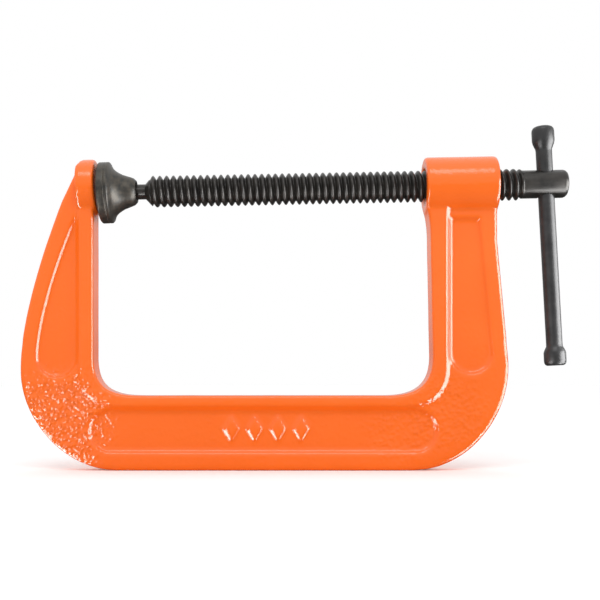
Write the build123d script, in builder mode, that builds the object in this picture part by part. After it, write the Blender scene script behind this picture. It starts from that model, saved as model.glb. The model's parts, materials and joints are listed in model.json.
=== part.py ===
"""A light-duty C-clamp: cast frame, screw, swivel pad on a snap ring, and a sliding tee bar.

Millimetres. The clamp stands on its spine: X runs from the anvil to the handle, Y across the
frame, Z up. The origin is the centre of the flat underside of the spine.
"""

import os
from math import cos, radians, sin, tan

from build123d import *

os.makedirs("parts", exist_ok=True)

# Frame casting, main sizes in side view
frame_length = 181.8  # over both legs at their widest
spine_depth = 27.85  # underside to the inner edge
anvil_leg_foot_width = 27.55
anvil_leg_top_width = 12.0  # just under the anvil
screw_leg_foot_width = 28.7
screw_leg_top_width = 24.1  # just under the boss
outer_corner_length = 35.4  # from the widest point of a leg to the flat underside
leg_foot_height = 37.5  # where the outer corners end
inner_corner_reach = 17.0  # inner corner along the spine
inner_corner_rise = 14.6  # inner corner up the leg

# Frame casting, across
web_width = 9.8  # over the outer rims and the corners
rim_width = 12.2  # over the raised inner rim
pocket_floor_width = 7.0  # web between the pocket floors
edge_round = 1.7  # outer edges of the casting
rim_round = 1.1  # edges of the inner rim
rim_slope_run = 1.3  # sloping side of the inner rim

# Rims and pockets
rim_height = 4.95  # inner rim measured from the inner face on the legs
spine_rim_height = 3.65  # inner rim measured from the inner edge of the spine
outer_rim_height = 4.8  # outer rim beside the leg pockets
base_rim_height = 5.3  # outer rim below the spine pocket
pocket_wall_run = 2.2  # how far the sloping pocket walls run in
spine_pocket_inset = 1.75  # ends of the spine pocket, in from the leg rims
left_pocket_foot = 4.6  # above the leg foot, where the rounded end begins
left_pocket_sag = 8.9  # depth of the rounded end
right_pocket_foot = 5.0
right_pocket_sag = 8.0
right_pocket_gap = 0.5  # between the boss and the pocket
pocket_peak_width = 1.6  # blunt top of the anvil leg's pocket
pocket_peak_rise = 3.7  # above the lowest point of the anvil
pocket_peak_fall = 2.4

# Shape of the outline's bends
anvil_shoulder_rise = 4.5  # where the back of the anvil leg turns, above the anvil's lowest point
anvil_crown_back = 5.0  # top of the anvil, behind its face
plate_rise = 5.6  # top of the leg's plate above the anvil centre
left_bend_reach = 6.0
left_bend_drop = 24.6
left_bend_rise = 14.8
left_corner_pull = 0.52
right_corner_pull = 0.55
corner_pull_up = 0.48
right_corner_bulge = 0.8
right_foot_inset = 0.3
right_foot_rise = 3.0
knee_reach = 0.85  # slight hollow below the boss
knee_drop = 11.0
knee_start = 2.5  # where the hollow begins, below the boss
leg_turn_drop = 10.0  # where the screw leg begins to taper
boss_bite = (0.4, 1.5)  # corner of the leg inside the boss
rim_into_anvil = 3.0
left_inner_pull = (0.19, 0.35)
right_inner_pull = (0.23, 0.39)
rim_inner_pull = 0.3
rim_embed = 0.5  # how deep the rim's sloping side is rooted in the web

# Raised marks in the spine pocket
mark_count = 4
mark_spacing = 8.6
mark_width = 6.2
mark_length = 10.6
mark_height = 0.8
mark_draft = 35.0  # degrees
mark_offset = (1.1, 0.75)  # middle of the row, from the middle of the pocket

# Screw axis
axis_height = 105.0  # at X = 0
axis_lean = 1.11  # degrees, rising towards the handle

# Boss and anvil
boss_diameter = 21.2
boss_length = 26.8
boss_proud = 2.6  # inner end of the boss, in from the leg's foot
boss_edge_round = 1.0
anvil_diameter = 20.4
anvil_proud = 0.6  # face of the anvil, in from the leg
anvil_depth = 6.6
anvil_rise = 2.1  # centre of the anvil above the screw axis
anvil_face_lean = 2.4  # degrees from vertical, as the pad seats

# Screw
pitch = 2.54  # ten threads to the inch
thread_diameter = 11.7
thread_depth = 1.55
crest_flat = 0.7
flank_angle = 20.0
thread_clearance = 0.25  # between the screw and the tapped boss
thread_beyond_boss = 10.0
neck_diameter = 5.6
neck_showing = 3.65  # between the pad and the thread
head_diameter = 10.4
head_length = 16.7
head_edge = 1.3
cross_hole_inset = 7.9  # from the end of the head
shoulder_overlap = 1.0  # core run into the head
tip_chamfer = 0.9

# Swivel pad
pad_gap = 1.1  # between the anvil and the pad at rest
pad_diameter = 22.6
pad_rim = 3.9  # thickness of the flange
pad_length = 13.6
pad_back_diameter = 9.9
pad_back_chamfer = 0.9
pad_face_chamfer = 0.45
pad_shoulder = 0.4  # small step where the bell begins
socket_floor = 4.0  # metal under the screw tip
socket_clearance = 0.4  # around the ring
lip_clearance = 0.35  # around the neck, in the lip that holds the ring in
lip_thickness = 0.8
lip_level = 1.3  # above the ring centre
mouth_flare = 0.75  # countersink above the lip
tip_clearance = 0.45
pivot_depth = 7.3  # ring centre behind the face

# Snap ring
wire_diameter = 1.0
ring_clearance = 0.1
ring_gap_angle = 30.0

# Tee bar
bar_diameter = 6.0
bar_lean = 2.02  # degrees off square to the screw
bar_clearance = 0.3  # radial, in the cross hole
bar_above = 21.5  # from the screw axis to the upper end
bar_below = 68.1
knob_diameter = 8.2
upper_knob_length = 8.5
lower_knob_length = 7.1
knob_shoulder = 2.2
knob_round = 1.2

# Values that follow from the sizes above
half_length = frame_length / 2
half_flat = half_length - outer_corner_length
inner_left = -half_length + anvil_leg_foot_width
inner_right = half_length - screw_leg_foot_width
axis_direction = (cos(radians(axis_lean)), 0, sin(radians(axis_lean)))
axis_up = (-sin(radians(axis_lean)), 0, cos(radians(axis_lean)))
screw_plane = Plane(origin=(0, 0, axis_height), x_dir=axis_up, z_dir=axis_direction)
anvil_face = inner_left + anvil_proud
boss_start = inner_right - boss_proud
boss_end = boss_start + boss_length
pad_face = anvil_face + pad_gap
pivot_place = pad_face + pivot_depth
tip_end = pad_face + socket_floor + tip_clearance
thread_start = pad_face + pad_length + neck_showing
thread_end = boss_end + thread_beyond_boss
head_end = thread_end + head_length
cross_hole_place = head_end - cross_hole_inset
thread_radius = thread_diameter / 2
core_radius = thread_radius - thread_depth
flank = tan(radians(flank_angle))
neck_radius = neck_diameter / 2
groove_radius = neck_radius - wire_diameter / 2
groove_half = wire_diameter / 2 + ring_clearance
ring_radius = groove_radius + groove_half
lip_radius = neck_radius + lip_clearance
mouth_radius = lip_radius + mouth_flare
socket_radius = ring_radius + wire_diameter / 2 + socket_clearance
leg_top = axis_height + boss_start * tan(radians(axis_lean))
boss_bottom = leg_top - boss_diameter / 2


def along_axis(place, rise=0.0):
    """A point on the screw axis, or straight above it by rise."""
    x = place * axis_direction[0] + rise * axis_up[0]
    return (x, 0, axis_height + place * axis_direction[2] + rise * axis_up[2])


def shifted(points, directions, distance):
    """The points moved by distance, each in its own direction."""
    return [(x + dx * distance, z + dz * distance) for (x, z), (dx, dz) in zip(points, directions)]


# Corners of the frame's outline
anvil_centre = along_axis(anvil_face, anvil_rise)
anvil_top = anvil_centre[2] + anvil_diameter / 2
anvil_bottom = anvil_centre[2] - anvil_diameter / 2
anvil_shoulder = (inner_left - anvil_leg_top_width, anvil_bottom + anvil_shoulder_rise)
anvil_crown = (anvil_centre[0] - anvil_crown_back, anvil_top)
slope = (anvil_crown[0] - anvil_shoulder[0]) / (anvil_crown[1] - anvil_shoulder[1])
plate_top = anvil_centre[2] + plate_rise
plate_corner = (inner_left, plate_top)
plate_crown = (anvil_shoulder[0] + slope * (plate_top - anvil_shoulder[1]), plate_top)
left_foot = (-half_length, leg_foot_height)
right_foot = (half_length - right_foot_inset, leg_foot_height + right_foot_rise)
left_bend = [
    anvil_shoulder,
    (-half_length + left_bend_reach, anvil_shoulder[1] - left_bend_drop),
    (-half_length, leg_foot_height + left_bend_rise),
    left_foot,
]
left_corner = [
    left_foot,
    (-half_length, corner_pull_up * leg_foot_height),
    (-half_flat - left_corner_pull * outer_corner_length, 0),
    (-half_flat, 0),
]
right_corner = [
    (half_flat, 0),
    (half_flat + right_corner_pull * outer_corner_length, 0),
    (half_length + right_corner_bulge, corner_pull_up * right_foot[1]),
    right_foot,
]
leg_turn = (inner_right + screw_leg_top_width, boss_bottom - leg_turn_drop)
boss_corner = (boss_start + boss_bite[0], boss_bottom + boss_bite[1])
knee_bend = [
    boss_corner,
    (inner_right - knee_reach, boss_bottom - knee_start),
    (inner_right - knee_reach, boss_bottom - knee_drop),
]
inner_corner_left = [
    (inner_left + inner_corner_reach, spine_depth),
    (inner_left + left_inner_pull[0] * inner_corner_reach, spine_depth),
    (inner_left, spine_depth + left_inner_pull[1] * inner_corner_rise),
    (inner_left, spine_depth + inner_corner_rise),
]
inner_corner_right = [
    (inner_right - inner_corner_reach, spine_depth),
    (inner_right - right_inner_pull[0] * inner_corner_reach, spine_depth),
    (inner_right, spine_depth + right_inner_pull[1] * inner_corner_rise),
    (inner_right, spine_depth + inner_corner_rise),
]

# Edges of the rims, where the pockets begin
rim_left = inner_left - rim_height
rim_right = inner_right + rim_height
rim_spine = spine_depth - spine_rim_height
rim_foot = rim_spine + inner_corner_rise
rim_corner_left = [
    (rim_left + inner_corner_reach, rim_spine),
    (rim_left + rim_inner_pull * inner_corner_reach, rim_spine),
    (rim_left, rim_spine + left_inner_pull[1] * inner_corner_rise),
    (rim_left, rim_foot),
]
rim_corner_right = [
    (rim_right, rim_foot),
    (rim_right, rim_spine + right_inner_pull[1] * inner_corner_rise),
    (rim_right - rim_inner_pull * inner_corner_reach, rim_spine),
    (rim_right - inner_corner_reach, rim_spine),
]
rim_left_top = anvil_bottom + rim_into_anvil
pocket_steps = ((rim_width / 2, 0.0), (pocket_floor_width / 2, pocket_wall_run))
spine_pocket_centre = (0.5 * (rim_left + rim_right), 0.5 * (base_rim_height + rim_spine))
spine_pocket_length = rim_right - rim_left - 2 * spine_pocket_inset
spine_pocket_width = rim_spine - base_rim_height
pocket_peak = (rim_left - pocket_peak_width, anvil_bottom + pocket_peak_rise)
pocket_wall_left = -half_length + outer_rim_height
pocket_foot_left = leg_foot_height + left_pocket_foot
pocket_foot_right = leg_foot_height + right_pocket_foot
pocket_top_right = boss_bottom - right_pocket_gap
leg_taper = (right_foot[0] - leg_turn[0]) / (leg_turn[1] - right_foot[1])

# The raised rim that follows the inner edge: its outer side slopes down to the web
rim_step = (rim_width - web_width) / 2
root_run = rim_slope_run * (rim_step + rim_embed) / rim_step
with BuildPart() as inner_rim:
    for level, run in ((web_width / 2 - rim_embed, root_run), (rim_width / 2, 0.0)):
        right_side = shifted(rim_corner_right, ((1, 0), (1, -1), (1, -1), (0, -1)), run)
        left_side = shifted(rim_corner_left, ((0, -1), (-1, -1), (-1, -1), (-1, 0)), run)
        with BuildSketch(Plane.XZ.offset(level)):
            with BuildLine():
                Line((inner_left, rim_left_top), inner_corner_left[-1])
                Bezier(*inner_corner_left)
                Line(inner_corner_left[0], inner_corner_right[0])
                Bezier(*inner_corner_right)
                Line(inner_corner_right[-1], knee_bend[-1])
                Bezier(*reversed(knee_bend))
                Polyline(boss_corner, (rim_right + run, boss_corner[1]), right_side[0])
                Bezier(*right_side)
                Line(right_side[-1], left_side[0])
                Bezier(*left_side)
                Polyline(left_side[-1], (rim_left - run, rim_left_top), (inner_left, rim_left_top))
            make_face()
    loft(ruled=True)
    extrude(inner_rim.faces().sort_by(Axis.Y)[-1], amount=web_width / 2 - rim_embed)
    long_edges = inner_rim.faces().sort_by(Axis.Y)[0].edges().sort_by(SortBy.LENGTH)[2:]
    fillet(long_edges, rim_round)

with BuildPart() as boss:
    with BuildSketch(screw_plane.offset(boss_start)):
        Circle(boss_diameter / 2)
    extrude(amount=boss_length)
    fillet(boss.edges().filter_by(GeomType.CIRCLE), boss_edge_round)

anvil_lean = radians(anvil_face_lean)
anvil_plane = Plane(origin=anvil_centre, z_dir=(cos(anvil_lean), 0, sin(anvil_lean)))
with BuildPart() as anvil:
    with BuildSketch(anvil_plane):
        Circle(anvil_diameter / 2)
    extrude(amount=-anvil_depth)
    fillet(anvil.edges().filter_by(GeomType.CIRCLE).sort_by(Axis.X)[-1], boss_edge_round)

    # its back is cut off flush with the sloping leg
    with BuildSketch(Plane.XZ):
        Polygon(
            anvil_shoulder,
            (anvil_crown[0] + slope * anvil_depth, anvil_crown[1] + anvil_depth),
            (anvil_shoulder[0], anvil_crown[1] + anvil_depth),
            align=None,
        )
    extrude(amount=anvil_diameter, both=True, mode=Mode.SUBTRACT)

# One raised diamond
with BuildPart() as raised_mark:
    with BuildSketch(Plane.XZ.offset(pocket_floor_width / 2)):
        Polygon(
            (0, -mark_length / 2),
            (mark_width / 2, 0),
            (0, mark_length / 2),
            (-mark_width / 2, 0),
            align=None,
        )
    extrude(amount=mark_height, taper=mark_draft)


def thread_ridge(length, grow):
    """One upright helical ridge from height 0 to length, thicker all round by grow."""
    spread = grow / cos(radians(flank_angle))
    root = core_radius - 0.1
    crest = thread_radius + grow
    root_half = crest_flat / 2 + (thread_radius - root) * flank + spread
    crest_half = crest_flat / 2 - grow * flank + spread
    with BuildPart() as ridge:
        with BuildLine(mode=Mode.PRIVATE) as path:
            Helix(pitch=pitch, height=length, radius=core_radius)
        with BuildSketch(Plane.XZ):
            Polygon(
                (root, -root_half),
                (crest, -crest_half),
                (crest, crest_half),
                (root, root_half),
                align=None,
            )
        sweep(path=path.line, is_frenet=True)
    return ridge.part


# The tap's groove is in step with the screw's ridge, and begins before the boss
tapping_start = thread_start + pitch * (round((boss_start - thread_start) / pitch) - 2)
tapping = thread_ridge(boss_length + 4 * pitch, thread_clearance)

with BuildPart() as frame_casting:
    with BuildSketch(Plane.XZ):
        with BuildLine():
            Line((-half_flat, 0), (half_flat, 0))
            Bezier(*right_corner)
            Polyline(right_foot, leg_turn, (leg_turn[0], leg_top), (boss_corner[0], leg_top), boss_corner)
            Bezier(*knee_bend)
            Line(knee_bend[-1], inner_corner_right[-1])
            Bezier(*inner_corner_right)
            Line(inner_corner_right[0], inner_corner_left[0])
            Bezier(*inner_corner_left)
            Polyline(inner_corner_left[-1], plate_corner, plate_crown, anvil_shoulder)
            Bezier(*left_bend)
            Bezier(*left_corner)
        make_face()
    extrude(amount=web_width / 2)
    fillet(frame_casting.faces().sort_by(Axis.Y)[0].outer_wire().edges(), edge_round)

    add(inner_rim.part)

    # pockets with sloping walls, each lofted from its mouth to its floor
    for level, run in pocket_steps:
        with BuildSketch(Plane.XZ.offset(level)):
            with Locations(spine_pocket_centre):
                SlotOverall(spine_pocket_length - 2 * run, spine_pocket_width - 2 * run)
    loft(mode=Mode.SUBTRACT)

    for level, run in pocket_steps:
        peak = (pocket_peak[0] - 0.3 * run, pocket_peak[1] - 4 * run)
        brow = (rim_left - run, pocket_peak[1] - pocket_peak_fall - 4 * run)
        inner_foot = (rim_left - run, pocket_foot_left)
        outer_foot = (pocket_wall_left + run, pocket_foot_left)
        lowest = (0.5 * (rim_left + pocket_wall_left), pocket_foot_left - left_pocket_sag + run)
        with BuildSketch(Plane.XZ.offset(level)):
            with BuildLine():
                Line(brow, inner_foot)
                ThreePointArc(inner_foot, lowest, outer_foot)
                Bezier(
                    outer_foot,
                    (outer_foot[0], leg_foot_height + left_bend_rise),
                    (left_bend[1][0] + outer_rim_height + run, left_bend[1][1]),
                    peak,
                )
                Line(peak, brow)
            make_face()
    loft(mode=Mode.SUBTRACT)

    for level, run in pocket_steps:
        inner_foot = (rim_right + run, pocket_foot_right)
        outer_foot = (right_foot[0] - outer_rim_height - run, pocket_foot_right)
        top = pocket_top_right - run
        outer_top = outer_foot[0] - leg_taper * (top - pocket_foot_right)
        lowest = (0.5 * (inner_foot[0] + outer_foot[0]), pocket_foot_right - right_pocket_sag + run)
        with BuildSketch(Plane.XZ.offset(level)):
            with BuildLine():
                Polyline(outer_foot, (outer_top, top), (rim_right + run, top), inner_foot)
                ThreePointArc(inner_foot, lowest, outer_foot)
            make_face()
    loft(mode=Mode.SUBTRACT)

    for index in range(mark_count):
        mark_x = spine_pocket_centre[0] + mark_offset[0] + (index - (mark_count - 1) / 2) * mark_spacing
        with Locations((mark_x, 0, spine_pocket_centre[1] + mark_offset[1])):
            add(raised_mark.part)

    mirror(about=Plane.XZ)

    add(boss.part)
    add(anvil.part)

    # tapped hole
    with BuildSketch(screw_plane.offset(boss_start - pitch)):
        Circle(core_radius + thread_clearance)
    extrude(amount=boss_length + 2 * pitch, mode=Mode.SUBTRACT)
    add(tapping.moved(screw_plane.offset(tapping_start).location), mode=Mode.SUBTRACT)
frame_casting.part.label = "frame_casting"
export_step(frame_casting.part, "parts/frame_casting.step")

# Screw, made upright: its ridge stops a pitch short of each end of the threaded core
screw_ridge = thread_ridge(thread_end - thread_start - 2 * pitch, 0.0)
with BuildPart() as screw:
    with BuildSketch(Plane.XY.offset(thread_start)):
        Circle(core_radius)
    extrude(amount=thread_end - thread_start + shoulder_overlap)
    add(screw_ridge.moved(Location((0, 0, thread_start + pitch))))

    # head, with a hole for the tee bar
    with BuildSketch(Plane.XY.offset(thread_end)):
        Circle(head_diameter / 2)
    extrude(amount=head_length)
    chamfer(screw.edges().filter_by(GeomType.CIRCLE).sort_by(Axis.Z)[-1], head_edge)
    with BuildSketch(Plane.YZ):
        with Locations((0, cross_hole_place)):
            Circle(bar_diameter / 2 + bar_clearance)
    extrude(amount=head_diameter, both=True, mode=Mode.SUBTRACT)

    # neck, with a groove for the snap ring
    with BuildSketch(Plane.XZ):
        Polygon(
            (0, tip_end),
            (neck_radius - tip_chamfer, tip_end),
            (neck_radius, tip_end + tip_chamfer),
            (neck_radius, pivot_place - groove_half),
            (groove_radius, pivot_place - groove_half),
            (groove_radius, pivot_place + groove_half),
            (neck_radius, pivot_place + groove_half),
            (neck_radius, thread_start),
            (0, thread_start),
            align=None,
        )
    revolve(axis=Axis.Z)
screw.part.locate(screw_plane.location)
screw.part.label = "screw"
export_step(screw.part, "parts/screw.step")

# Snap ring
with BuildPart() as retaining_ring:
    with BuildSketch(Plane.XZ):
        with Locations((ring_radius, pivot_place)):
            Circle(wire_diameter / 2)
    revolve(axis=Axis.Z, revolution_arc=360 - ring_gap_angle)
retaining_ring.part.locate(screw_plane.location)
retaining_ring.part.label = "retaining_ring"
export_step(retaining_ring.part, "parts/retaining_ring.step")

# Swivel pad, made upright with the ring's centre at height 0
pad_radius = pad_diameter / 2
back_radius = pad_back_diameter / 2
face_level = -pivot_depth
back_level = pad_length - pivot_depth
floor_level = face_level + socket_floor
flange_top = face_level + pad_rim
bell_start = (pad_radius - pad_shoulder, flange_top + pad_shoulder)
bell_end = (back_radius, back_level - pad_back_chamfer)
pad_plane = Plane(
    origin=along_axis(pivot_place),
    x_dir=(-sin(anvil_lean), 0, cos(anvil_lean)),
    z_dir=(cos(anvil_lean), 0, sin(anvil_lean)),
)
with BuildPart() as swivel_pad:
    with BuildSketch(Plane.XZ):
        with BuildLine():
            Polyline(
                (0, floor_level),
                (0, face_level),
                (pad_radius - pad_face_chamfer, face_level),
                (pad_radius, face_level + pad_face_chamfer),
                (pad_radius, flange_top),
                bell_start,
            )
            Spline(
                bell_start,
                (0.77 * pad_radius, flange_top + 1.3),
                (0.61 * pad_radius, flange_top + 3.3),
                bell_end,
                tangents=[(-1.0, 0.35), (-0.2, 1.0)],
            )
            Polyline(
                bell_end,
                (back_radius - pad_back_chamfer, back_level),
                (mouth_radius, back_level),
                (lip_radius, lip_level + lip_thickness),
                (lip_radius, lip_level),
                (socket_radius, lip_level),
                (socket_radius, floor_level),
                (0, floor_level),
            )
        make_face()
    revolve(axis=Axis.Z)
swivel_pad.part.locate(pad_plane.location)
swivel_pad.part.label = "swivel_pad"
export_step(swivel_pad.part, "parts/swivel_pad.step")

# Tee bar, made upright with the screw axis at height 0
bar_radius = bar_diameter / 2
knob_radius = knob_diameter / 2
total_lean = radians(axis_lean + bar_lean)
bar_plane = Plane(
    origin=along_axis(cross_hole_place),
    x_dir=(cos(total_lean), 0, sin(total_lean)),
    z_dir=(-sin(total_lean), 0, cos(total_lean)),
)
with BuildPart() as tee_bar:
    with BuildSketch(Plane.XZ):
        Polygon(
            (0, -bar_below),
            (knob_radius - knob_round, -bar_below),
            (knob_radius, -bar_below + knob_round),
            (knob_radius, -bar_below + lower_knob_length - knob_shoulder),
            (bar_radius, -bar_below + lower_knob_length),
            (bar_radius, bar_above - upper_knob_length),
            (knob_radius, bar_above - upper_knob_length + knob_shoulder),
            (knob_radius, bar_above - knob_round),
            (knob_radius - knob_round, bar_above),
            (0, bar_above),
            align=None,
        )
    revolve(axis=Axis.Z)
tee_bar.part.locate(bar_plane.location)
tee_bar.part.label = "tee_bar"
export_step(tee_bar.part, "parts/tee_bar.step")
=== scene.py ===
import bmesh
import bpy
import json
from math import atan2, cos, pi, radians, sin
from mathutils import Matrix, Vector, noise


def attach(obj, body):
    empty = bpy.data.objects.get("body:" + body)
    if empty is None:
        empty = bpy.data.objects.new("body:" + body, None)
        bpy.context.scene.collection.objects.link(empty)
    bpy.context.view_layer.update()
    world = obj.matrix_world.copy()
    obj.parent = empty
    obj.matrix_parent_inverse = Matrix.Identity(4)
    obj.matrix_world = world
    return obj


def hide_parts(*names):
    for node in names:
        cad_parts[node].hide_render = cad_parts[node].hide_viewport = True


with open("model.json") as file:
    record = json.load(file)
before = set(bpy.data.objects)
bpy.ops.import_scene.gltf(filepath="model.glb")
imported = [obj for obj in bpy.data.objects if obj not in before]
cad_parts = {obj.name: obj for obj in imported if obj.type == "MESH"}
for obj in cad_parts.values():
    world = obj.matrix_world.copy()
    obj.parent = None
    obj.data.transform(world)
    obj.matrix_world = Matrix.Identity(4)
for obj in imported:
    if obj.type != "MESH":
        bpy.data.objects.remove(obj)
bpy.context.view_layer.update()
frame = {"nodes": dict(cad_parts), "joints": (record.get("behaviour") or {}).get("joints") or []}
joints = {joint["name"]: joint for joint in frame["joints"]}
mm = 0.001
print("frame loaded")

screwDirection = Vector(joints["screw_turn"]["axis"]).normalized()
screwOrigin = Vector(joints["screw_turn"]["pos_m"])
padPivot = Vector(joints["pad_tilt"]["pos_m"])
barDirection = Vector(joints["tee_bar_slide"]["axis"]).normalized()


def standing(origin, direction):
    # local z along the piece's own axis, local x towards the top of the clamp or the handle
    side = Vector((0, -1, 0))
    across = side.cross(direction).normalized()
    place = Matrix((across, side, direction)).transposed().to_4x4()
    place.translation = origin
    return place


def addPiece(name, bm):
    mesh = bpy.data.meshes.new(name)
    bm.to_mesh(mesh)
    bm.free()
    piece = bpy.data.objects.new(name, mesh)
    bpy.context.collection.objects.link(piece)
    mesh.shade_smooth()
    return piece


def evaluated(piece):
    # the mesh that a piece's modifiers make, applied
    graph = bpy.context.evaluated_depsgraph_get()
    mesh = bpy.data.meshes.new_from_object(piece.evaluated_get(graph))
    piece.modifiers.clear()
    old = piece.data
    piece.data = mesh
    bpy.data.meshes.remove(old)


def cutAway(piece, bm):
    # subtracts a closed shape from a piece
    tool = addPiece("tool", bm)
    cut = piece.modifiers.new("cut", "BOOLEAN")
    cut.operation = "DIFFERENCE"
    cut.solver = "MANIFOLD"
    cut.object = tool
    evaluated(piece)
    bpy.data.objects.remove(tool)


def turned(outline, steps=96, arc=2 * pi):
    # a lathe: outline is (radius, height) pairs in millimetres
    bm = bmesh.new()
    verts = [bm.verts.new((r * mm, 0, z * mm)) for r, z in outline]
    edges = [bm.edges.new(pair) for pair in zip(verts, verts[1:])]
    bmesh.ops.spin(bm, geom=verts + edges, cent=(0, 0, 0), axis=(0, 0, 1), angle=arc,
                   steps=steps, use_merge=True)
    bmesh.ops.remove_doubles(bm, verts=bm.verts, dist=0.002 * mm)
    bmesh.ops.recalc_face_normals(bm, faces=bm.faces)
    return bm


def softenEdges(bm, width, segments=3, sharpest=25):
    edges = [e for e in bm.edges if e.is_manifold and e.calc_face_angle(0) > radians(sharpest)]
    bmesh.ops.bevel(bm, geom=edges, offset=width * mm, offset_type="OFFSET", affect="EDGES",
                    segments=segments, profile=0.5, material=-1, clamp_overlap=True)


# the frame casting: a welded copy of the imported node, softened as a dipped casting is
casting = {
    "grain": 0.5,  # mm between points while it is shaped
    "softening": 3,
    "cornerSoftening": 12,  # more passes where the big corners' edge is rounder
    "halfLength": 90.9,
    "cornerReach": 35.4,
    "cornerRise": 37.5,
    "cornerDepth": 0.78,  # 1 at the outline of the corner, 0 at its centre
    "pebbleSize": 1.25,
    "pebbleHeight": 0.5,
    "waveSize": 9,
    "waveHeight": 0.05,
    "triangles": 180000,
    "bore": 6.1,  # radius at the thread's crests
    "countersink": 0.9,
    "bossStart": 59.6,
    "bossEnd": 86.4,
}


def cornerField(x, z):
    # how rough the sand left the surface: most at the anvil leg's foot, little at the screw leg's
    left = max(0, 1 - Vector((x + 75, z - 19)).length / 22)
    right = max(0, 1 - Vector((x - 68, z - 21)).length / 17)
    pocketEnd = max(0, 1 - Vector((x - 50, z - 13)).length / 14)
    return min(1, 2.2 * left) + 0.4 * min(1, 2 * right) + 0.3 * min(1, 2 * pocketEnd) + 0.08


def cornerEdge(x, z, size):
    # true along the two big outer corners
    across = (size["halfLength"] - abs(x)) / size["cornerReach"]
    up = z / size["cornerRise"]
    outward = (1 - across) ** 2 + max(0, 1 - up) ** 2
    return up < 1.3 and across < 1 and outward > size["cornerDepth"]


def tappedBore(size):
    # the clean hole through the boss, countersunk at both ends
    wide, deep = size["bore"] + size["countersink"], size["countersink"]
    start, end, past = size["bossStart"], size["bossEnd"], 1.0
    bm = turned([(0, start - past), (wide + past, start - past), (size["bore"], start + deep),
                 (size["bore"], end - deep), (wide + past, end + past), (0, end + past)], 72)
    bmesh.ops.transform(bm, matrix=standing(screwOrigin, screwDirection), verts=bm.verts)
    return bm


def frameCasting(size):
    bm = bmesh.new()
    bm.from_mesh(frame["nodes"]["frame_casting"].data)
    bmesh.ops.remove_doubles(bm, verts=bm.verts, dist=0.0005 * mm)
    piece = addPiece("enamelledFrame", bm)
    remesh = piece.modifiers.new("skin", "REMESH")
    remesh.mode = "VOXEL"
    remesh.voxel_size = size["grain"] * mm
    evaluated(piece)
    bm = bmesh.new()
    bm.from_mesh(piece.data)
    for _ in range(size["softening"]):
        bmesh.ops.smooth_vert(bm, verts=bm.verts, factor=0.5, use_axis_x=True, use_axis_y=True,
                              use_axis_z=True)
    rounder = [v for v in bm.verts if cornerEdge(v.co.x / mm, v.co.z / mm, size)]
    for _ in range(size["cornerSoftening"]):
        bmesh.ops.smooth_vert(bm, verts=rounder, factor=0.5, use_axis_x=True, use_axis_y=True,
                              use_axis_z=True)
    bm.normal_update()
    for vert in bm.verts:
        x, y, z = vert.co / mm
        flatness = max(0, abs(vert.normal.y) - 0.6) / 0.4
        rough = cornerField(x, z) * flatness
        spot = Vector((x, y * 0.3, z)) / size["pebbleSize"]
        dimple = abs(noise.noise(spot)) * 2.4 - 0.6 + 0.5 * noise.noise(spot * 2.1 + Vector((7, 3, 1)))
        wave = noise.noise(Vector((x, y, z)) / size["waveSize"])
        height = rough * dimple * size["pebbleHeight"] + size["waveHeight"] * wave
        vert.co += vert.normal * height * mm
    bm.to_mesh(piece.data)
    bm.free()
    thin = piece.modifiers.new("thin", "DECIMATE")
    thin.ratio = size["triangles"] / (2 * len(piece.data.polygons))
    evaluated(piece)
    cutAway(piece, tappedBore(size))
    piece.data.shade_smooth()
    return piece


body = frameCasting(casting)
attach(body, "frame")
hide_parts("frame_casting")
print("frame casting made", len(body.data.polygons), "faces")

# the screw: one rolled thread, a turned neck and a cross-drilled head
thread = {
    "pitch": 2.54,
    "crest": 5.85,
    "root": 4.3,
    "start": -44.4,
    "end": 96.4,
    "neck": 2.8,
    "head": 5.2,
    "headEnd": 113.1,
    "hole": 3.3,
    "holePlace": 105.2,
    "tipEnd": -57.2,
    "roundness": 0.62,  # under 1, the crest is broader than the root
    "runOut": 1.7,  # the last turn runs into the head over this length
    "stepsPerTurn": 48,
    "pointsPerPitch": 12,
    # radius, and distance in from the end
    "neckSteps": [(2.8, 0.9), (2.5, 0.3), (1.8, 0)],
    "headSteps": [(5.2, 1.7), (4.95, 0.9), (4.4, 0.3), (3.6, 0)],
}


def threadRadius(s, size):
    # rolled form: a rounded crest at whole pitches, a tighter rounded root between them
    wave = 0.5 + 0.5 * cos(2 * pi * s / size["pitch"])
    return size["root"] + (size["crest"] - size["root"]) * wave ** size["roundness"]


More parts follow.
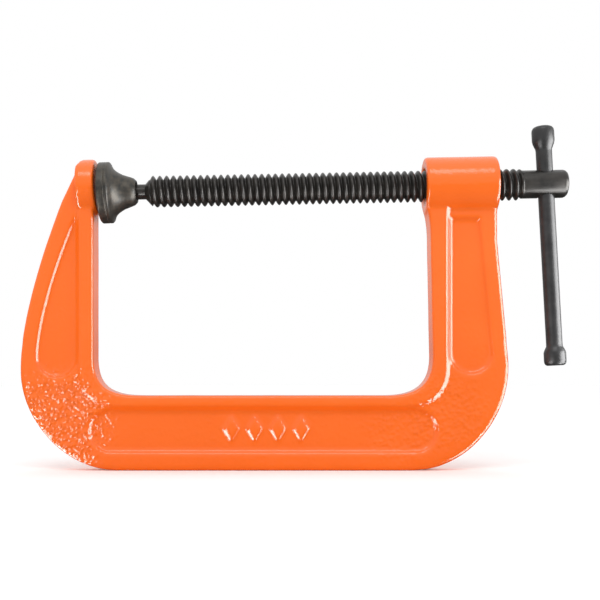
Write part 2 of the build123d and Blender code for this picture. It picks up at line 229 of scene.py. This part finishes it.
def screwPiece(size):
    pitch, steps = size["pitch"], size["stepsPerTurn"]
    turns = int((size["end"] - size["start"]) / pitch) + 3
    bm = bmesh.new()
    first = size["start"] - pitch
    count = size["pointsPerPitch"]
    verts = []
    for i in range(count + 1):
        s = (i / count - 0.5) * pitch
        verts.append(bm.verts.new((threadRadius(s, size) * mm, 0, (first + s) * mm)))
    edges = [bm.edges.new(pair) for pair in zip(verts, verts[1:])]
    bmesh.ops.spin(bm, geom=verts + edges, cent=(0, 0, 0), axis=(0, 0, 1),
                   dvec=(0, 0, pitch * mm / steps), angle=2 * pi, steps=steps)
    oneTurn = bm.verts[:] + bm.edges[:] + bm.faces[:]
    for turn in range(1, turns):
        copied = bmesh.ops.duplicate(bm, geom=oneTurn)["geom"]
        bmesh.ops.translate(bm, vec=(0, 0, turn * pitch * mm),
                            verts=[g for g in copied if isinstance(g, bmesh.types.BMVert)])
    bmesh.ops.remove_doubles(bm, verts=bm.verts, dist=0.01 * mm)
    for vert in bm.verts:
        r, s = Vector(vert.co[:2]).length / mm, vert.co.z / mm
        limit = size["neck"] + max(0, s - size["start"] + 0.3) * 1.1  # chamfered lead
        run = min(max((s - size["end"]) / size["runOut"] + 1, 0), 1)
        r = min(r, limit)
        r += (size["head"] - r) * run * run * (3 - 2 * run)
        angle = atan2(vert.co.y, vert.co.x)
        vert.co.x, vert.co.y = r * mm * cos(angle), r * mm * sin(angle)
    for level, side in ((size["start"] - 0.4, -1), (size["end"], 1)):
        bmesh.ops.bisect_plane(bm, geom=bm.verts[:] + bm.edges[:] + bm.faces[:], dist=1e-7,
                               plane_co=(0, 0, level * mm), plane_no=(0, 0, side), clear_outer=True)
    neckSteps = [(radius, size["tipEnd"] + inset) for radius, inset in size["neckSteps"]]
    headSteps = [(radius, size["headEnd"] - inset) for radius, inset in size["headSteps"]]
    for level, ends in ((size["start"] - 0.4, neckSteps), (size["end"], headSteps)):
        rim = [e for e in bm.edges if e.is_boundary and abs(e.verts[0].co.z - level * mm) < 0.01 * mm]
        for radius, height in ends:
            grown = bmesh.ops.extrude_edge_only(bm, edges=rim)["geom"]
            rim = [g for g in grown if isinstance(g, bmesh.types.BMEdge)]
            for vert in [g for g in grown if isinstance(g, bmesh.types.BMVert)]:
                angle = atan2(vert.co.y, vert.co.x)
                vert.co = (radius * mm * cos(angle), radius * mm * sin(angle), height * mm)
        bmesh.ops.holes_fill(bm, edges=rim, sides=0)
    bmesh.ops.recalc_face_normals(bm, faces=bm.faces)
    piece = addPiece("threadedScrew", bm)
    drill = bmesh.new()
    across = Matrix.Translation((0, 0, size["holePlace"] * mm)) @ Matrix.Rotation(pi / 2, 4, "Y")
    bmesh.ops.create_cone(drill, cap_ends=True, segments=48, radius1=size["hole"] * mm,
                          radius2=size["hole"] * mm, depth=16 * mm, matrix=across)
    cutAway(piece, drill)
    piece.data.transform(standing(screwOrigin, screwDirection))
    piece.data.shade_smooth()
    return piece


screw = screwPiece(thread)
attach(screw, "screw")
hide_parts("screw")
print("screw made", len(screw.data.polygons), "faces")

# the swivel pad, turned about its own leaning axis
pad = {
    "lean": 2.4,
    "outline": [(0, -7.3), (10.85, -7.3), (11.3, -6.85), (11.3, -4.6), (11.18, -4.5), (11.18, -4.35),
                (11.3, -4.25), (11.3, -3.4), (10.9, -3.0), (9.6, -2.5), (8.7, -1.9),
                (7.9, -1.1), (7.1, 0.1), (6.4, 1.4), (5.9, 2.8), (5.45, 4.2), (4.95, 5.4), (4.1, 6.3),
                (3.9, 6.3), (3.15, 2.1), (3.15, 1.3), (3.8, 1.3), (3.8, -3.3), (0, -3.3)],
}
padDirection = Vector((cos(radians(pad["lean"])), 0, sin(radians(pad["lean"]))))
bm = turned(pad["outline"], 128)
softenEdges(bm, 0.15)
padPiece = addPiece("swivelPad", bm)
padPiece.data.transform(standing(padPivot, padDirection))
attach(padPiece, "pad")
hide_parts("swivel_pad")
print("pad made")

# the tee bar: a drawn rod with both ends upset
teeBar = {
    "centre": 105.2,
    "outline": [(0, -68.1), (2.9, -68.1), (3.6, -67.8), (4.0, -67.1), (4.1, -66.2), (4.1, -63.4),
                (3.9, -62.6), (3.4, -61.6), (3.05, -60.9), (3.0, -60.0), (3.0, 12.2), (3.05, 13.0),
                (3.4, 13.9), (3.9, 15.1), (4.15, 16.2), (4.15, 19.6), (4.0, 20.5), (3.5, 21.2),
                (2.8, 21.5), (0, 21.5)],
}
bm = turned(teeBar["outline"], 64)
softenEdges(bm, 0.2)
barPiece = addPiece("teeBar", bm)
barPiece.data.transform(standing(screwOrigin + screwDirection * teeBar["centre"] * mm, barDirection))
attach(barPiece, "tee_bar")
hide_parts("tee_bar")
print("tee bar made")


# finishes
def newMaterial(name):
    material = bpy.data.materials.new(name)
    material.use_nodes = True
    tree = material.node_tree
    return material, tree, tree.nodes["Principled BSDF"]


def noiseNode(tree, scale, detail, roughness=0.55):
    spot = tree.nodes.new("ShaderNodeTexCoord")
    pattern = tree.nodes.new("ShaderNodeTexNoise")
    pattern.inputs["Scale"].default_value = scale
    pattern.inputs["Detail"].default_value = detail
    pattern.inputs["Roughness"].default_value = roughness
    tree.links.new(spot.outputs["Object"], pattern.inputs["Vector"])
    return pattern


def ramp(tree, source, stops):
    shade = tree.nodes.new("ShaderNodeValToRGB")
    while len(shade.color_ramp.elements) < len(stops):
        shade.color_ramp.elements.new(0.5)
    for element, (place, colour) in zip(shade.color_ramp.elements, stops):
        element.position = place
        element.color = (*colour, 1)
    tree.links.new(source, shade.inputs["Fac"])
    return shade.outputs["Color"]


def bumpFrom(tree, height, strength, distance, before=None):
    bump = tree.nodes.new("ShaderNodeBump")
    bump.inputs["Strength"].default_value = strength
    bump.inputs["Distance"].default_value = distance * mm
    tree.links.new(height, bump.inputs["Height"])
    if before:
        tree.links.new(before, bump.inputs["Normal"])
    return bump.outputs["Normal"]


def orangeEnamel():
    material, tree, shader = newMaterial("orangeEnamel")
    drift = noiseNode(tree, 35, 2)
    tint = ramp(tree, drift.outputs["Fac"], [(0.3, (0.86, 0.138, 0.009)), (0.7, (0.90, 0.150, 0.012))])
    tree.links.new(tint, shader.inputs["Base Color"])
    peel = noiseNode(tree, 900, 2, 0.5)
    swell = noiseNode(tree, 260, 2, 0.5)
    normal = bumpFrom(tree, swell.outputs["Fac"], 0.2, 0.12)
    normal = bumpFrom(tree, peel.outputs["Fac"], 0.12, 0.05, normal)
    tree.links.new(normal, shader.inputs["Normal"])
    shader.inputs["Roughness"].default_value = 0.17
    return material


# oxide finishes: the two tints, how fine the mottling is, and the least and most roughness
oxides = {
    "blackOxideScrew": ((0.012, 0.011, 0.010), (0.034, 0.030, 0.026), 300, 0.25, 0.42),
    "blackOxidePad": ((0.016, 0.018, 0.017), (0.066, 0.055, 0.040), 480, 0.3, 0.5),
    "blackOxideBar": ((0.024, 0.024, 0.025), (0.044, 0.044, 0.045), 200, 0.3, 0.45),
    "springWire": ((0.2, 0.2, 0.2), (0.3, 0.3, 0.3), 300, 0.3, 0.4),
}


def blackOxide(name):
    dark, light, grain, roughLow, roughHigh = oxides[name]
    material, tree, shader = newMaterial(name)
    cloud = noiseNode(tree, grain, 5, 0.6)
    tint = ramp(tree, cloud.outputs["Fac"], [(0.3, dark), (0.7, light)])
    tree.links.new(tint, shader.inputs["Base Color"])
    rough = tree.nodes.new("ShaderNodeMapRange")
    rough.inputs["To Min"].default_value = roughLow
    rough.inputs["To Max"].default_value = roughHigh
    tree.links.new(cloud.outputs["Fac"], rough.inputs["Value"])
    tree.links.new(rough.outputs["Result"], shader.inputs["Roughness"])
    fine = noiseNode(tree, 900, 4, 0.6)
    tree.links.new(bumpFrom(tree, fine.outputs["Fac"], 0.2, 0.08), shader.inputs["Normal"])
    shader.inputs["Metallic"].default_value = 0.35
    return material


def finishWith(piece, material):
    piece.data.materials.clear()
    piece.data.materials.append(material)


finishWith(body, orangeEnamel())
finishWith(screw, blackOxide("blackOxideScrew"))
finishWith(padPiece, blackOxide("blackOxidePad"))
finishWith(barPiece, blackOxide("blackOxideBar"))
finishWith(frame["nodes"]["retaining_ring"], blackOxide("springWire"))
print("finishes made")

# studio: the camera, a white floor, soft boxes and a white world
view = {"distance": 360, "height": 35.5, "side": 7.5, "width": 225.0, "middle": 13.1, "centre": 63.6}
camera = bpy.data.objects.new("camera", bpy.data.cameras.new("camera"))
bpy.context.collection.objects.link(camera)
camera.location = (view["side"] * mm, -view["distance"] * mm, view["height"] * mm)
camera.rotation_euler = (pi / 2, 0, 0)
camera.data.sensor_width = 36
camera.data.lens = 36 * view["distance"] / view["width"]
camera.data.shift_x = (view["middle"] - view["side"]) / view["width"]
camera.data.shift_y = (view["centre"] - view["height"]) / view["width"]
camera.data.clip_start = 0.01
bpy.context.scene.camera = camera

bm = bmesh.new()
bmesh.ops.create_grid(bm, x_segments=1, y_segments=1, size=3.0)
floor = addPiece("floor", bm)
floor.visible_glossy = False
floor.visible_shadow = False
material, tree, shader = newMaterial("palePaper")
shader.inputs["Base Color"].default_value = (1, 1, 1, 1)
shader.inputs["Roughness"].default_value = 1.0
shader.inputs["Specular IOR Level"].default_value = 0.0
finishWith(floor, material)


def softBox(name, place, aim, size, power):
    light = bpy.data.lights.new(name, "AREA")
    light.shape = "RECTANGLE"
    light.size, light.size_y = size
    light.energy = power
    lamp = bpy.data.objects.new(name, light)
    bpy.context.collection.objects.link(lamp)
    lamp.location = place
    lamp.rotation_euler = (Vector(aim) - Vector(place)).to_track_quat("-Z", "Y").to_euler()
    return lamp


softBox("topBox", (0, -0.45, 0.62), (0, 0, 0.06), (0.5, 0.2), 1.2)
# panels that only the gloss shows
panels = [
    ("rightPanel", (0.38, -0.09, 0.04), (0.34, 0.28), 4.0),
    ("lowRightPanel", (0.36, -0.14, -0.22), (0.2, 0.22), 2.2),
    ("lowLeftPanel", (-0.36, 0.0, -0.26), (0.2, 0.22), 2.6),
    ("frontLeftPanel", (-0.32, -0.24, -0.20), (0.12, 0.16), 1.3),
    ("speckPanel", (-0.28, -0.42, -0.09), (0.08, 0.10), 0.5),
]
for name, place, size, power in panels:
    panel = softBox(name, place, (0, 0, 0.05), size, power)
    panel.visible_diffuse = False
    panel.visible_camera = False


def paleStudio():
    # white all round; reflections see it dimmer towards the floor
    world = bpy.data.worlds.new("studio")
    world.use_nodes = True
    tree = world.node_tree
    shine = tree.nodes["Background"]
    shine.inputs["Color"].default_value = (1, 1, 1, 1)
    spot = tree.nodes.new("ShaderNodeTexCoord")
    apart = tree.nodes.new("ShaderNodeSeparateXYZ")
    height = tree.nodes.new("ShaderNodeMapRange")
    height.inputs["From Min"].default_value = -1
    fade = tree.nodes.new("ShaderNodeValToRGB")
    fade.color_ramp.elements.new(0.5)
    for element, (level, amount) in zip(fade.color_ramp.elements, ((0.42, 0.05), (0.55, 0.6), (1.0, 1.3))):
        element.position = level
        element.color = (amount, amount, amount, 1)
    path = tree.nodes.new("ShaderNodeLightPath")
    choose = tree.nodes.new("ShaderNodeMix")
    choose.inputs["A"].default_value = 1.0
    tree.links.new(spot.outputs["Object"], apart.inputs["Vector"])
    tree.links.new(apart.outputs["Z"], height.inputs["Value"])
    tree.links.new(height.outputs["Result"], fade.inputs["Fac"])
    tree.links.new(path.outputs["Is Glossy Ray"], choose.inputs["Factor"])
    tree.links.new(fade.outputs["Color"], choose.inputs["B"])
    tree.links.new(choose.outputs["Result"], shine.inputs["Strength"])
    return world


bpy.context.scene.world = paleStudio()
bpy.context.scene.view_settings.view_transform = "Standard"
